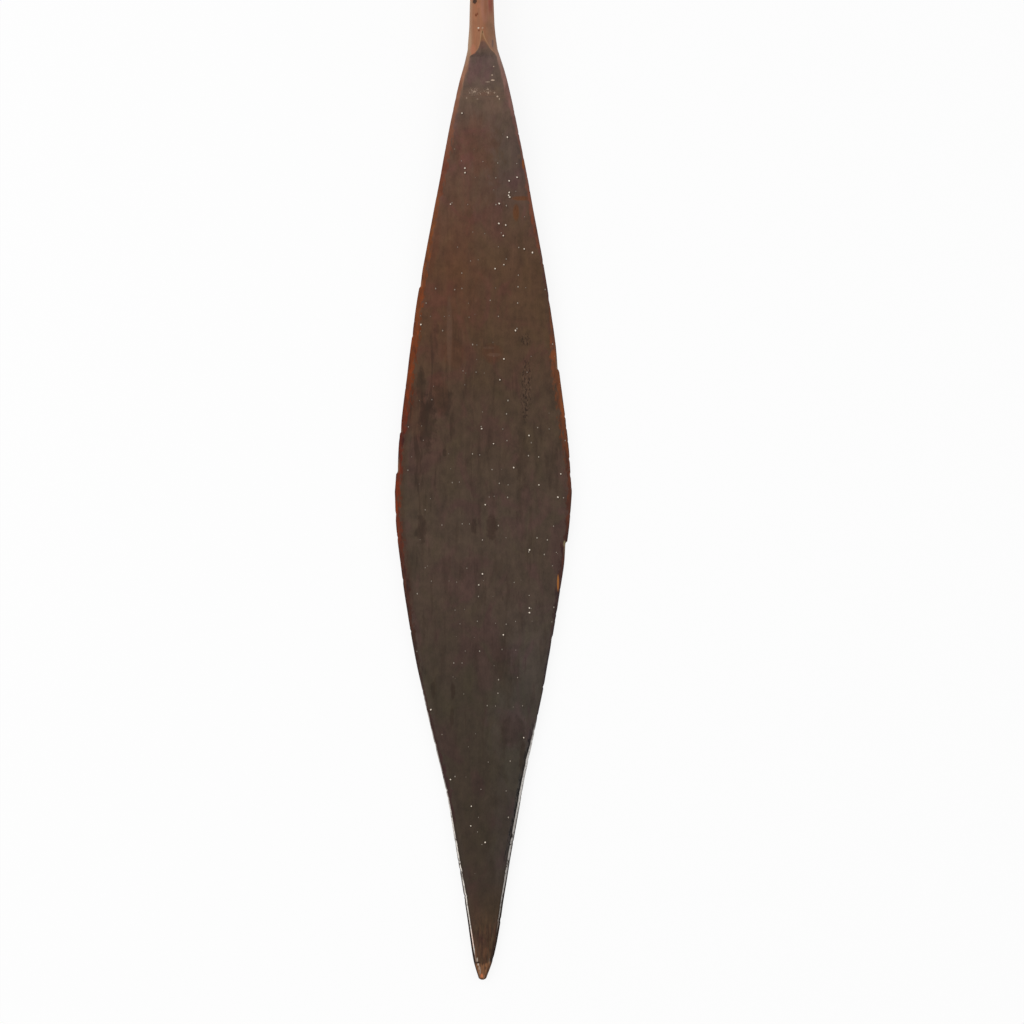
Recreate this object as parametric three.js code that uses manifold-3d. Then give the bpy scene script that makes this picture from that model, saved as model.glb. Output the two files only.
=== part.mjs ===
// A Maori paddle, a hoe: one length of timber carved into a leaf-shaped blade, a slim oval shaft and a
// plain swollen butt. It lies on its back with the flat face of the blade up. X runs along the paddle,
// with the tip at +X and the butt at -X, Y across it, and Z up out of the face. All sizes are in mm.
// Places along the paddle are measured from the shoulders, where the shaft opens into the blade: the
// blade is on the plus side and the shaft on the minus side.
import * as THREE from "three";
import { mergeVertices } from "three/addons/utils/BufferGeometryUtils.js";
import Module from "manifold-3d";

const wasm = await Module();
wasm.setup();

// Blade, seen from above
const bladeLength = 800; // shoulders to tip
const bladeWidth = 152;
const widestPlace = 380; // from the shoulders to the widest place
const tipRadius = 4.2;
const tipBluntness = 1.6; // width of the small worn end of the tip

// Blade, seen from the side
const bladeThickness = 12; // along the middle at the widest place
const shoulderThickness = 17;
const tipThickness = 4.5;
const rimThickness = 3; // the blade's edge
const bevelWidth = 3.6; // slope that runs round the face, just inside the rim
const bevelDrop = 1.8;
const faceCrown = 1.5; // how much higher the face is along its middle than at its sides
const neckLift = 13; // the underside of the neck clears the ground by this much
const tipLift = 3.5;

// Back of the blade
const keelWidth = 34; // the rounded ridge that the shaft sends down the back
const keelLength = 330;
const landLength = 170; // flat that the blade lies on, under its belly
const landWidth = 28;

// Run-out, where the flat face bites up into the ridged front of the shaft
const runOutRise = 16; // how far its point reaches above the shoulders

// Shaft
const shaftLength = 940; // shoulders to the end of the butt
const shoulderWidth = 25.8;
const neckWidth = 19.4; // narrowest place, a little above the shoulders
const neckDepth = 25;
const neckPlace = 75;
const gripWidth = 28.5;
const gripDepth = 30;
const sideBand = 2; // upright band along each side, between the front and the back
const plainOval = 2;
const ridgePower = 1.6; // below a plain oval's 2, which draws the front of the shaft up to a ridge
const ridgeLength = 420; // above the shoulders, over which the ridge fades into the oval

// Butt
const buttWidth = 34;
const buttLength = 78; // from where it starts to swell
const buttDome = 13; // length of its rounded end
const buttFlat = 18; // width of the trimmed flat on that end

// Cuts between the named lengths of the one timber
const bladeStart = 60; // above the shoulders
const cutGap = 0.3;

// How finely the surfaces are divided, from the middle out to each side
const innerColumns = 3;
const outerColumns = 5;

// Stock left above the face before it is planed away, which is how far the face ends up below the ridge
const faceDrop = neckDepth - shoulderThickness;

function blend(from, to, share) {
  return from + (to - from) * share;
}

// Rises smoothly from 0 to 1 between two places
function ease(place, start, end) {
  const share = THREE.MathUtils.clamp((place - start) / (end - start), 0, 1);
  return share * share * (3 - 2 * share);
}

// A smooth curve through points of [place, value], which never swings past them
function curveThrough(points) {
  const rise = (i) => (points[i + 1][1] - points[i][1]) / (points[i + 1][0] - points[i][0]);
  const slopes = points.map((point, i) => {
    if (i === 0) return rise(0);
    if (i === points.length - 1) return rise(i - 1);
    const before = rise(i - 1);
    const after = rise(i);
    return before * after > 0 ? (2 * before * after) / (before + after) : 0;
  });
  return (place) => {
    if (place <= points[0][0]) return points[0][1];
    const next = points.findIndex((point) => point[0] >= place);
    if (next < 0) return points[points.length - 1][1];
    const [x0, y0] = points[next - 1];
    const [x1, y1] = points[next];
    const run = x1 - x0;
    const t = (place - x0) / run;
    const start = y0 * (1 + 2 * t) * (1 - t) * (1 - t) + run * slopes[next - 1] * t * (1 - t) * (1 - t);
    return start + y1 * t * t * (3 - 2 * t) + run * slopes[next] * t * t * (t - 1);
  };
}

// Outline from the shoulders to the widest place: share of that length, share of the widening
const upperOutline = curveThrough([
  [0, 0],
  [0.025, 0.042],
  [0.07, 0.12],
  [0.16, 0.24],
  [0.34, 0.448],
  [0.57, 0.7],
  [0.75, 0.845],
  [0.89, 0.945],
  [1, 1],
]);

// Outline from the widest place to the tip: share of that length, share of the blade's width
const lowerOutline = curveThrough([
  [0, 1],
  [0.06, 0.982],
  [0.14, 0.93],
  [0.26, 0.83],
  [0.39, 0.7],
  [0.51, 0.555],
  [0.59, 0.45],
  [0.71, 0.333],
  [0.8, 0.25],
  [0.92, 0.148],
  [0.96, 0.105],
  [1, 0.037],
]);

// Half-widths of the shaft, from the butt to the shoulders
const shaftOutline = curveThrough([
  [-shaftLength + buttDome, buttWidth / 2],
  [-shaftLength + buttDome + 0.3 * (buttLength - buttDome), buttWidth / 2],
  [-shaftLength + buttLength, gripWidth / 2],
  [-0.45 * shaftLength, gripWidth / 2],
  [-neckPlace, neckWidth / 2],
  [-0.3 * neckPlace, blend(neckWidth, shoulderWidth, 0.35) / 2],
  [0, shoulderWidth / 2],
]);

// Depth of the shaft from back to front
const shaftDepth = curveThrough([
  [-shaftLength + buttDome, buttWidth],
  [-shaftLength + buttDome + 0.3 * (buttLength - buttDome), buttWidth],
  [-shaftLength + buttLength, gripDepth],
  [-0.45 * shaftLength, gripDepth],
  [-neckPlace, neckDepth],
  [0, neckDepth],
]);

// Height of the shaft's middle line, a long low bow from the butt to the neck
const shaftMiddle = curveThrough([
  [-shaftLength, buttWidth / 2],
  [-shaftLength + buttDome + 0.3 * (buttLength - buttDome), buttWidth / 2],
  [-0.62 * shaftLength, blend(buttWidth / 2, neckLift + neckDepth / 2, 0.5)],
  [-0.3 * shaftLength, blend(buttWidth / 2, neckLift + neckDepth / 2, 0.88)],
  [0, neckLift + neckDepth / 2],
]);

// Underside of the blade along its middle
const bladeBack = curveThrough([
  [0, neckLift],
  [0.04 * bladeLength, 0.88 * neckLift],
  [0.13 * bladeLength, 0.5 * neckLift],
  [0.25 * bladeLength, 0.16 * neckLift],
  [widestPlace - landLength / 2, 0],
  [widestPlace + landLength / 2, 0],
  [blend(widestPlace + landLength / 2, bladeLength, 0.5), 0.25 * tipLift],
  [bladeLength, tipLift],
]);

// Thickness of the blade along its middle, under the finished face
const bladeDepth = curveThrough([
  [0, shoulderThickness],
  [0.12 * bladeLength, blend(bladeThickness, shoulderThickness, 0.5)],
  [widestPlace, bladeThickness],
  [0.75 * bladeLength, blend(tipThickness, bladeThickness, 0.7)],
  [0.93 * bladeLength, blend(tipThickness, bladeThickness, 0.25)],
  [bladeLength, tipThickness],
]);

// How deep the face lies below the ridge of the shaft: places are shares of the run-out's rise
const faceDepth = curveThrough([
  [-1.6 * runOutRise, -0.14 * faceDrop],
  [-runOutRise, 0],
  [-0.62 * runOutRise, 0.06 * faceDrop],
  [-0.3 * runOutRise, 0.19 * faceDrop],
  [0, 0.42 * faceDrop],
  [0.2 * runOutRise, 0.65 * faceDrop],
  [0.4 * runOutRise, 0.85 * faceDrop],
  [runOutRise, faceDrop],
]);

// Half the width of the rounded end of the butt, from its flat out to full size
function domeShare(place) {
  const along = THREE.MathUtils.clamp((place + shaftLength) / buttDome, 0, 1);
  return blend(buttFlat / buttWidth, 1, Math.sqrt(1 - (1 - along) * (1 - along)));
}

function halfWidthAt(place) {
  if (place < 0) return shaftOutline(place) * domeShare(place);
  if (place < widestPlace) {
    return blend(shoulderWidth, bladeWidth, upperOutline(place / widestPlace)) / 2;
  }
  const side = (bladeWidth / 2) * lowerOutline((place - widestPlace) / (bladeLength - widestPlace));
  const fromTip = THREE.MathUtils.clamp(bladeLength - place, 0, tipRadius);
  const round = Math.sqrt((tipBluntness / 2) ** 2 + fromTip * (2 * tipRadius - fromTip));
  return fromTip < tipRadius ? Math.min(side, round) : side;
}

// Depth of the timber before the face is planed
function stockDepthAt(place) {
  return place < 0 ? shaftDepth(place) * domeShare(place) : bladeDepth(place) + faceDrop;
}

function backHeightAt(place) {
  return place < 0 ? shaftMiddle(place) - stockDepthAt(place) / 2 : bladeBack(place);
}

function faceHeightAt(place) {
  return backHeightAt(place) + stockDepthAt(place) - faceDepth(place);
}

// 0 where the timber is still shaft and 1 where it is all blade
function bladeShareAt(place) {
  return ease(place, -0.25 * runOutRise, 3 * runOutRise);
}

// The crown and the bevel get shallower as the blade thins toward its tip
function thinningAt(place) {
  return Math.min(1, bladeDepth(place) / bladeThickness);
}

function rimTopAt(place) {
  const onShaft = backHeightAt(place) + (stockDepthAt(place) + sideBand) / 2;
  const onBlade = faceHeightAt(place) - (faceCrown + bevelDrop) * thinningAt(place);
  return blend(onShaft, onBlade, bladeShareAt(place));
}

// Front of the unplaned timber: a soft ridge on the shaft, and on the blade a bevel up from the rim
function frontHeight(place, half, side) {
  const rimTop = rimTopAt(place);
  const ridge = backHeightAt(place) + stockDepthAt(place);
  const share = Math.min(1, Math.abs(side) / half);
  const power = blend(plainOval, ridgePower, ease(place, -ridgeLength, -neckPlace));
  const round = (1 - share ** power) ** (1 / power);
  const onShaft = blend(rimTop, ridge, round);
  const slope = (bevelDrop * thinningAt(place)) / Math.min(bevelWidth, 0.3 * half);
  const onBlade = Math.min(ridge, rimTop + slope * (half - Math.abs(side)));
  return blend(onShaft, onBlade, bladeShareAt(place));
}

// Half the width of the flat under the belly, which narrows to nothing beyond each of its ends
function landHalfAt(place) {
  const start = ease(place, widestPlace - landLength, widestPlace - landLength / 2);
  const end = ease(place, widestPlace + landLength / 2, widestPlace + landLength);
  return (landWidth / 2) * start * (1 - end);
}

// Back of the timber: oval on the shaft, then a keel that sinks into the belly of the blade
function backHeight(place, half, side) {
  const blade = bladeShareAt(place);
  const rimBottom = rimTopAt(place) - blend(sideBand, rimThickness, blade);
  const away = Math.abs(side);
  const landHalf = landHalfAt(place);
  const oval = Math.sqrt(Math.max(0, 1 - (away / half) ** 2));
  const bulge = 1 - (Math.max(0, away - landHalf) / (half - landHalf)) ** 2;
  const keel = (1 - Math.min(1, (2 * away) / keelWidth) ** 2) ** 2;
  const onBlade = blend(keel, bulge, ease(place, 0, keelLength));
  return blend(rimBottom, backHeightAt(place), blend(oval, onBlade, blade));
}

// Places across the width from one side to the other. The inner ones follow the keel and then the
// flat under the belly, and the outer ones crowd together toward the sides.
function columnsAt(place, half) {
  const alongBack = blend(keelWidth, landWidth, ease(place, 0, widestPlace - landLength / 2)) / 2;
  const inner = Math.min(0.5 * half, blend(0.5 * half, alongBack, bladeShareAt(place)));
  const outward = Array.from({ length: outerColumns }, (_, i) =>
    blend(inner, half, Math.sin((Math.PI / 2) * ((i + 1) / outerColumns))),
  );
  const inward = Array.from({ length: innerColumns }, (_, i) => (inner * (i + 1)) / innerColumns);
  const oneSide = [...inward, ...outward];
  return [...oneSide.slice().reverse(), 0, ...oneSide.map((side) => -side)];
}

// One closed section of the timber across X, over the front and back along the underside
function sectionAt(place) {
  const half = halfWidthAt(place);
  const across = columnsAt(place, half);
  const front = across.map((side) => new THREE.Vector3(place, side, frontHeight(place, half, side)));
  const back = across.map((side) => new THREE.Vector3(place, side, backHeight(place, half, side)));
  return [...front, ...back.reverse()];
}

// One section of the cutter whose underside is the finished face
function faceCutterAt(place) {
  const half = 1.1 * halfWidthAt(place) + bevelWidth;
  const crown = faceCrown * thinningAt(place) * bladeShareAt(place);
  const top = backHeightAt(place) + stockDepthAt(place) + 2 * faceDrop;
  const sides = Array.from({ length: 9 }, (_, i) => blend(-half, half, i / 8));
  const under = sides.map(
    (side) => new THREE.Vector3(place, side, faceHeightAt(place) - crown * (side / half) ** 2),
  );
  return [new THREE.Vector3(place, half, top), new THREE.Vector3(place, -half, top), ...under];
}

// Skins a row of closed sections and closes both ends
function loft(sections) {
  const size = sections[0].length;
  const points = sections.flat();
  const middles = [sections[0], sections[sections.length - 1]].map((ring) =>
    ring.reduce((sum, point) => sum.add(point), new THREE.Vector3()).divideScalar(size),
  );
  const index = [];
  for (let ring = 0; ring < sections.length - 1; ring++) {
    for (let i = 0; i < size; i++) {
      const here = ring * size + i;
      const beside = ring * size + ((i + 1) % size);
      index.push(here, beside, beside + size, here, beside + size, here + size);
    }
  }
  const lastRing = (sections.length - 1) * size;
  for (let i = 0; i < size; i++) {
    const beside = (i + 1) % size;
    index.push(points.length, beside, i);
    index.push(points.length + 1, lastRing + i, lastRing + beside);
  }
  return new THREE.BufferGeometry().setFromPoints([...points, ...middles]).setIndex(index);
}

function toSolid(geometry) {
  const merged = mergeVertices(geometry, 1e-4);
  const vertProperties = merged.attributes.position.array;
  const triVerts = new Uint32Array(merged.index.array);
  return new wasm.Manifold(new wasm.Mesh({ numProp: 3, vertProperties, triVerts }));
}

function toGeometry(solid) {
  const mesh = solid.getMesh();
  const geometry = new THREE.BufferGeometry();
  geometry.setAttribute("position", new THREE.BufferAttribute(mesh.vertProperties, 3));
  geometry.setIndex(new THREE.BufferAttribute(mesh.triVerts, 1));
  return geometry;
}

// Evenly spaced places from start to end, no further apart than step
function placesFrom(start, end, step) {
  const count = Math.max(1, Math.ceil((end - start) / step));
  return Array.from({ length: count }, (_, i) => blend(start, end, i / count));
}

// Places that crowd together toward the rounded end that they reach last
function placesToEnd(start, end, count) {
  return Array.from({ length: count + 1 }, (_, i) => {
    return blend(start, end, Math.sin((Math.PI / 2) * (i / count)));
  });
}

// Each mesh's material is the bare wood of that length of the paddle
function woodMesh(name, geometry, colour) {
  geometry.computeVertexNormals();
  const material = new THREE.MeshStandardMaterial({ color: colour, roughness: 0.6, metalness: 0 });
  const mesh = new THREE.Mesh(geometry, material);
  mesh.name = name;
  return mesh;
}

// The blank of the blade, with the face then cut into it by one long shaped cutter. Where the cutter
// meets the ridged front of the neck it leaves the pointed run-out, and all round the blade it leaves
// the bevel standing inside the rim.
function makeBlade() {
  const tipStart = bladeLength - 5 * tipRadius;
  const landEnds = [widestPlace - landLength / 2, widestPlace + landLength / 2];
  const stockPlaces = [
    ...placesFrom(-bladeStart, -1.5 * runOutRise, 12),
    ...placesFrom(-1.5 * runOutRise, runOutRise, 3),
    ...placesFrom(runOutRise, 6 * runOutRise, 9),
    ...placesFrom(6 * runOutRise, landEnds[0], 20),
    ...placesFrom(landEnds[0], widestPlace, 18),
    ...placesFrom(widestPlace, landEnds[1], 18),
    ...placesFrom(landEnds[1], tipStart, 20),
    ...placesToEnd(tipStart, bladeLength, 8),
  ];
  const cutterPlaces = [
    ...placesFrom(-1.5 * runOutRise, runOutRise, 1.5),
    ...stockPlaces.filter((place) => place >= runOutRise),
    bladeLength + tipRadius,
  ];
  const stock = toSolid(loft(stockPlaces.map(sectionAt)));
  const cutter = toSolid(loft(cutterPlaces.map(faceCutterAt)));
  return woodMesh("blade", toGeometry(stock.subtract(cutter)), 0x4b3a30);
}

function makeShaft() {
  const places = [...placesFrom(-shaftLength + buttLength, -bladeStart - cutGap, 26), -bladeStart - cutGap];
  return woodMesh("shaft", loft(places.map(sectionAt)), 0x966a4c);
}

function makeButt() {
  const domeEnd = -shaftLength + buttDome;
  const dome = placesToEnd(domeEnd, -shaftLength, 7).reverse();
  const swell = placesFrom(domeEnd, -shaftLength + buttLength - cutGap, 8).slice(1);
  const places = [...dome, ...swell, -shaftLength + buttLength - cutGap];
  return woodMesh("butt", loft(places.map(sectionAt)), 0x966a4c);
}

const paddle = new THREE.Group();
paddle.name = "paddle";
paddle.add(makeBlade(), makeShaft(), makeButt());

// The middle of the whole length stands at X = 0, and the paddle lies on Z = 0
const timber = new THREE.Group();
timber.add(paddle);
paddle.position.x = (shaftLength - bladeLength) / 2;

export default timber;
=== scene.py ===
# A Maori paddle, a hoe, carved from one length of timber: blade, shaft and butt.
# Lengths are worked out in millimetres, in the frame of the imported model, and go into the meshes in
# metres. Places along the paddle are measured from its shoulders, blade plus and shaft minus, as
# the carver of the solids measured them. Seen from the front, left is -Y and right is +Y.
import math

import bpy
import numpy as np
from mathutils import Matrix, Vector


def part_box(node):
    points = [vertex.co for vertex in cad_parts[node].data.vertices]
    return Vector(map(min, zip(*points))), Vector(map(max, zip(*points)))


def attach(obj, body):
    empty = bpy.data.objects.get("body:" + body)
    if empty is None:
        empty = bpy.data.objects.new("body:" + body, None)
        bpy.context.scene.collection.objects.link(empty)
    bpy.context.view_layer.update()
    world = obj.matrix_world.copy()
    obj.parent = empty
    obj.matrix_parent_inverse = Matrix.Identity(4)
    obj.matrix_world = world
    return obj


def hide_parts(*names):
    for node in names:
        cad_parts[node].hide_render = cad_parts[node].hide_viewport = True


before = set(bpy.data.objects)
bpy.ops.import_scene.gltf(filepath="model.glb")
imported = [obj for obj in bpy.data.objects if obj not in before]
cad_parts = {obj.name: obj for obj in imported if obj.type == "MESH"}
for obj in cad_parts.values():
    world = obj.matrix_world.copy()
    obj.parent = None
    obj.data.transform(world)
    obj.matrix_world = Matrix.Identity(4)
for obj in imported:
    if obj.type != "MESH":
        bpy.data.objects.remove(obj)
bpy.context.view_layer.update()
millimetre = 0.001
scene = bpy.context.scene

# The camera looks straight down on the face, with the shaft toward the top of the picture

cameraView = {
    "lens": 400,  # a long lens from far off, so that near and far parts keep one scale
    "sensor": 36,
    "pictureWidth": 880.9,  # how much of the paddle's plane the picture spans
    "pictureMiddle": (467.3, 24.97),
    "faceHeight": 15,
}


def placeCamera():
    camera = bpy.data.objects.new("photoCamera", bpy.data.cameras.new("photoCamera"))
    camera.data.lens = cameraView["lens"]
    camera.data.sensor_width = cameraView["sensor"]
    away = cameraView["pictureWidth"] * cameraView["lens"] / cameraView["sensor"]
    spot = (*cameraView["pictureMiddle"], cameraView["faceHeight"] + away)
    camera.location = Vector(spot) * millimetre
    camera.rotation_euler = (0, 0, math.pi / 2)
    scene.collection.objects.link(camera)
    scene.camera = camera


placeCamera()
print("camera placed")

# The form of the timber has the same driving sizes as the solids

bladeBox = [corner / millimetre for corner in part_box("blade")]
buttBox = [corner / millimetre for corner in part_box("butt")]
shaftBox = [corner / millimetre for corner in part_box("shaft")]

bladeSizes = {
    "length": 800,  # shoulders to tip
    "width": bladeBox[1].y - bladeBox[0].y,
    "widestPlace": 380,
    "tipRadius": 4.2,
    "tipBluntness": 1.6,
    "tipRounding": 2.4,  # how far back the end of the tip is rounded over
    "thickness": 12,
    "shoulderThickness": 17,
    "tipThickness": 4.5,
    "rimThickness": 3,
    "rimRounding": 0.8,
    "bevelWidth": 3.6,
    "bevelDrop": 1.8,
    "faceCrown": 1.5,
    "neckLift": 13,
    "tipLift": 3.5,
    "keelWidth": 34,
    "keelLength": 330,
    "landLength": 170,
    "landWidth": 28,
    "runOutRise": 16,
    "runOutLag": 5.4,  # the left half of the run-out is cut that much later
    "arrisRounding": 0.22,  # wear along the sharp lines that the plane left
    "unevenness": 0.09,  # of the planed face
    "toolMarks": 0.13,  # depth of the facets left on the back
    "toolMarkLength": 17,
}

shaftSizes = {
    "shoulderWidth": 25.8,
    "neckWidth": 19.4,
    "neckDepth": 25,
    "neckPlace": 75,
    "gripWidth": shaftBox[1].y - shaftBox[0].y,
    "gripDepth": 30,
    "sideBand": 2,
    "plainOval": 2,
    "ridgePower": 1.6,
    "ridgeLength": 420,
    "unevenness": 0.14,
}

buttSizes = {
    "width": buttBox[1].y - buttBox[0].y,
    "length": 78,
    "dome": 13,
    "flat": 18,
}

bladeLength = bladeSizes["length"]
shoulders = bladeBox[1].x - bladeLength  # X of the shoulders
bladeStart = bladeBox[0].x - shoulders  # the named lengths meet at these two places
buttStart = (buttBox[1].x + shaftBox[0].x) / 2 - shoulders
buttEnd = buttBox[0].x - shoulders
faceDrop = shaftSizes["neckDepth"] - bladeSizes["shoulderThickness"]


def blend(start, end, share):
    return start + (end - start) * share


def ease(value, start, end):  # smooth rise from 0 to 1
    share = np.clip((value - start) / (end - start), 0, 1)
    return share * share * (3 - 2 * share)


def curveThrough(*points):  # smooth, and never swings past its points
    places = np.array([point[0] for point in points], float)
    values = np.array([point[1] for point in points], float)
    rises = np.diff(values) / np.diff(places)
    before, after = rises[:-1], rises[1:]
    steady = before * after > 0
    middle = np.where(steady, 2 * before * after / np.where(steady, before + after, 1), 0)
    slopes = np.concatenate([rises[:1], middle, rises[-1:]])

    def valueAt(place):
        place = np.clip(place, places[0], places[-1])
        i = np.clip(np.searchsorted(places, place) - 1, 0, len(places) - 2)
        run = places[i + 1] - places[i]
        t = (place - places[i]) / run
        start = values[i] * (1 + 2 * t) * (1 - t) ** 2 + run * slopes[i] * t * (1 - t) ** 2
        return start + values[i + 1] * t * t * (3 - 2 * t) + run * slopes[i + 1] * t * t * (t - 1)

    return valueAt


upperOutline = curveThrough(  # shoulders to the widest place
    (0, 0), (0.025, 0.042), (0.07, 0.12), (0.16, 0.24), (0.34, 0.448), (0.57, 0.7),
    (0.75, 0.845), (0.89, 0.945), (1, 1),
)
lowerOutline = curveThrough(  # widest place to the tip
    (0, 1), (0.06, 0.982), (0.14, 0.93), (0.26, 0.83), (0.39, 0.7), (0.51, 0.555), (0.59, 0.45),
    (0.71, 0.333), (0.8, 0.25), (0.92, 0.148), (0.96, 0.105), (1, 0.037),
)
swellEnd = buttEnd + buttSizes["dome"] + 0.3 * (buttSizes["length"] - buttSizes["dome"])
neckMiddle = bladeSizes["neckLift"] + shaftSizes["neckDepth"] / 2
shaftOutline = curveThrough(
    (buttEnd + buttSizes["dome"], buttSizes["width"] / 2),
    (swellEnd, buttSizes["width"] / 2),
    (buttEnd + buttSizes["length"], shaftSizes["gripWidth"] / 2),
    (0.45 * buttEnd, shaftSizes["gripWidth"] / 2),
    (-shaftSizes["neckPlace"], shaftSizes["neckWidth"] / 2),
    (-0.3 * shaftSizes["neckPlace"], blend(shaftSizes["neckWidth"], shaftSizes["shoulderWidth"], 0.35) / 2),
    (0, shaftSizes["shoulderWidth"] / 2),
)
shaftDepth = curveThrough(
    (buttEnd + buttSizes["dome"], buttSizes["width"]),
    (swellEnd, buttSizes["width"]),
    (buttEnd + buttSizes["length"], shaftSizes["gripDepth"]),
    (0.45 * buttEnd, shaftSizes["gripDepth"]),
    (-shaftSizes["neckPlace"], shaftSizes["neckDepth"]),
    (0, shaftSizes["neckDepth"]),
)
shaftMiddle = curveThrough(
    (buttEnd, buttSizes["width"] / 2),
    (swellEnd, buttSizes["width"] / 2),
    (0.62 * buttEnd, blend(buttSizes["width"] / 2, neckMiddle, 0.5)),
    (0.3 * buttEnd, blend(buttSizes["width"] / 2, neckMiddle, 0.88)),
    (0, neckMiddle),
)
landStart = bladeSizes["widestPlace"] - bladeSizes["landLength"] / 2
landEnd = bladeSizes["widestPlace"] + bladeSizes["landLength"] / 2
bladeBack = curveThrough(
    (0, bladeSizes["neckLift"]),
    (0.04 * bladeLength, 0.88 * bladeSizes["neckLift"]),
    (0.13 * bladeLength, 0.5 * bladeSizes["neckLift"]),
    (0.25 * bladeLength, 0.16 * bladeSizes["neckLift"]),
    (landStart, 0),
    (landEnd, 0),
    (blend(landEnd, bladeLength, 0.5), 0.25 * bladeSizes["tipLift"]),
    (bladeLength, bladeSizes["tipLift"]),
)
bladeDepth = curveThrough(
    (0, bladeSizes["shoulderThickness"]),
    (0.12 * bladeLength, blend(bladeSizes["thickness"], bladeSizes["shoulderThickness"], 0.5)),
    (bladeSizes["widestPlace"], bladeSizes["thickness"]),
    (0.75 * bladeLength, blend(bladeSizes["tipThickness"], bladeSizes["thickness"], 0.7)),
    (0.93 * bladeLength, blend(bladeSizes["tipThickness"], bladeSizes["thickness"], 0.25)),
    (bladeLength, bladeSizes["tipThickness"]),
)
rise = bladeSizes["runOutRise"]
faceDepth = curveThrough(  # how deep the face lies below the ridge
    (-1.6 * rise, -0.14 * faceDrop), (-rise, 0), (-0.62 * rise, 0.06 * faceDrop),
    (-0.3 * rise, 0.19 * faceDrop), (0, 0.42 * faceDrop), (0.2 * rise, 0.65 * faceDrop),
    (0.4 * rise, 0.85 * faceDrop), (rise, faceDrop),
)

# How the worn timber departs from that even form, and how finely it is divided

skin = {
    "frontColumns": (40, 0.55),  # across each half, and the share of them inward of the rim band
    "backColumns": (36, 0.6),
    "rimBand": 7,  # where the columns crowd together over the bevel and the rim
    "waver": (90, 0.16, 3),  # of the edges: length, size, seed
    "waverStretches": (1, 0.61, 0.37),
    "waves": 7,  # of a surface's unevenness
    # and of each surface: length, width, seed
    "faceSwell": (95, 40, 21),
    "backSwell": (80, 30, 33),
    "strokeSwell": (120, 30, 8),
    "shaftFrontSwell": (130, 60, 13),
    "shaftBackSwell": (150, 60, 14),
    "swellAlong": (0.5, 1.6),  # how much a wave's length and width vary
    "swellAcross": (-1.4, 1.4),
}
centreSway = curveThrough(  # the timber was never quite straight
    (-300, 0), (-43, -1), (-12, -0.7), (18, 0.5), (112, 0.4), (300, 0.1), (370, 0), (473, -1), (570, 0.2),
    (645, 1.5), (765, 0.7), (800, -0.5),
)
edgeStray = {  # how far each edge strays out from the even outline
    1: curveThrough(
        (40, 0), (85, 0.2), (137, 0.4), (185, 0.2), (223, 0), (243, 0.3), (282, 0.3), (298, 0.6),
        (342, 1), (375, 0.5), (500, 0.4), (525, 0), (568, -0.2), (600, 0), (730, 0), (757, 0.35),
        (783, 0.25), (800, 0),
    ),
    -1: curveThrough(
        (40, 0), (145, -0.2), (195, 0), (215, 0.3), (240, -0.1), (270, 0.1), (320, -0.1), (385, 0.1),
        (430, 0), (500, 0.25), (540, 0.5), (570, 0.5), (620, 1.1), (655, 0.8), (712, 0.6), (750, 0.1),
        (783, 0.4), (800, 0),
    ),
}


def waver(along, length, size, seed):  # a line's unevenness: a few slow waves
    chance = np.random.default_rng(seed)
    total = 0
    for stretch in skin["waverStretches"]:
        turn = math.tau * along / (length * stretch)
        total = total + stretch * np.sin(turn + chance.uniform(0, math.tau))
    return size * total / sum(skin["waverStretches"])


def unevenness(along, across, length, width, seed):  # a surface's unevenness, about -1 to 1
    chance = np.random.default_rng(seed)
    total = 0
    for _ in range(skin["waves"]):
        lengthways = chance.uniform(*skin["swellAlong"])
        sideways = chance.uniform(*skin["swellAcross"])
        turn = math.tau * (lengthways * along / length + sideways * across / width)
        total = total + np.cos(turn + chance.uniform(0, math.tau))
    return total / 4


# What has been knocked off the blade's edges

edgeWear = {
    # place of the sharp end, side, length (minus runs back toward the shaft), depth
    "flakes": [
        (424, 1, 20, 1.5), (363, -1, -26, 1.35), (328.6, -1, -12, 0.8), (247, -1, -9, 0.6),
        (204, -1, -18, 1), (275, 1, -22, 1.2), (505, 1, 14, 0.6), (596, -1, 10, 0.7), (612, 1, -12, 0.5),
        (214, 1, 10, 0.5),
    ],
    "nicks": 70,
    "nickPlaces": (40, bladeLength - 12),
    "nickLength": (1.2, 4.5),
    "nickDepth": (0.15, 0.75),
    "crack": (352.3, -1, 1.1, 1.6),  # place, side, width, depth
    "seed": 5,
}


def listNicks():
    chance = np.random.default_rng(edgeWear["seed"])
    nicks = [edgeWear["crack"]]
    for _ in range(edgeWear["nicks"]):
        place = chance.uniform(*edgeWear["nickPlaces"])
        side = 1 if chance.random() > 0.5 else -1
        length = chance.uniform(*edgeWear["nickLength"])
        depth = chance.uniform(*edgeWear["nickDepth"]) * blend(0.5, 1, place / bladeLength)
        nicks.append((place, side, length, depth))
    return nicks


edgeNicks = listNicks()


def edgeLoss(place, side):
    lost = np.zeros_like(place)
    for start, onSide, length, depth in edgeWear["flakes"]:
        if onSide == side:
            along = (place - start) / length
            gone = depth * ease(along, -0.05, 0.02) * (1 - np.clip(along, 0, 1)) ** 1.5
            lost = np.maximum(lost, gone)
    for middle, onSide, length, depth in edgeNicks:
        if onSide == side:
            along = np.clip(2 * (place - middle) / length, -1, 1)
            lost = np.maximum(lost, depth * (1 - along * along))
    return lost


def domeShare(place):
    along = np.clip((place - buttEnd) / buttSizes["dome"], 0, 1)
    return blend(buttSizes["flat"] / buttSizes["width"], 1, np.sqrt(1 - (1 - along) ** 2))


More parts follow.
